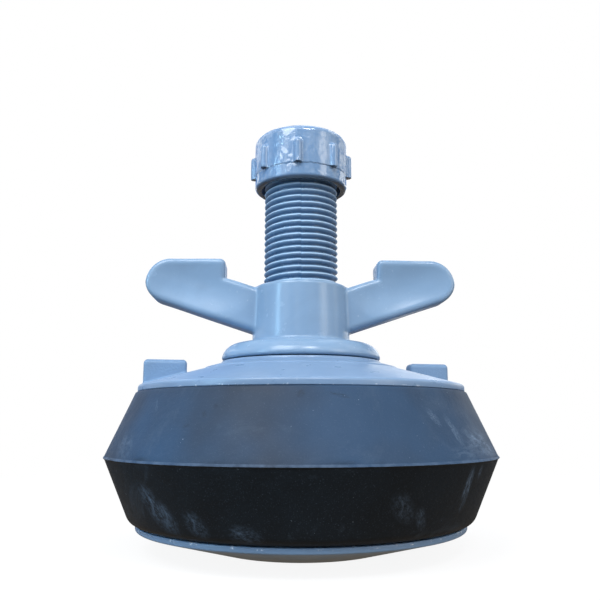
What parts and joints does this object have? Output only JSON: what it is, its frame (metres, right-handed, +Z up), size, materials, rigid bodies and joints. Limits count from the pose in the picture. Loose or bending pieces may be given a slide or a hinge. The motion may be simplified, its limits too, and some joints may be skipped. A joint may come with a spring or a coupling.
{
  "type": "pipe end sealing plug",
  "caption": "Round expanding plug that closes a pipe end: a wing nut on a hollow threaded stem squeezes a rubber ring between plates.",
  "frame": {"origin": "centre of the flat middle of the base plate's underside", "axes": "+Z up along the threaded stem, wings of the nut close to the X axis"},
  "size_m": [0.1036, 0.1036, 0.1135],
  "materials": {
    "base_plastic": "moulded grey-blue plastic, satin",
    "plate_plastic": "moulded grey-blue plastic, satin",
    "nut_plastic": "moulded grey-blue plastic, satin",
    "cap_plastic": "moulded grey-blue plastic, glossy",
    "seal_rubber": "black rubber with chalky marks",
    "gasket_rubber": "smooth black rubber"
  },
  "bodies": {
    "base": {"base_with_threaded_stem": "base_plastic", "seal_ring": "seal_rubber"},
    "plate": {"pressure_plate": "plate_plastic"},
    "nut": {"wing_nut": "nut_plastic"},
    "gasket": {"cap_gasket": "gasket_rubber"},
    "cap": {"screw_cap": "cap_plastic"}
  },
  "joints": [
    {"name": "plate_slide", "type": "slide", "parent": "base", "child": "plate", "axis": [0, 0, 1], "range_m": [-0.01, 0], "deforming": ["seal_ring"]},
    {"name": "nut_turn", "type": "hinge", "parent": "plate", "child": "nut", "pos_m": [0, 0, 0.055], "axis": [0, 0, 1], "range_deg": [-1980, 0]},
    {"name": "gasket_lift", "type": "slide", "parent": "base", "child": "gasket", "axis": [0, 0, 1], "range_m": [0, 0.0128]},
    {"name": "cap_turn", "type": "hinge", "parent": "gasket", "child": "cap", "pos_m": [0, 0, 0.105], "axis": [0, 0, 1], "range_deg": [0, 2520]}
  ],
  "couplings": [
    {"joint": "plate_slide", "follows": "nut_turn", "m_per_rad": 0.00028871},
    {"joint": "gasket_lift", "follows": "cap_turn", "m_per_rad": 0.00028871}
  ]
}
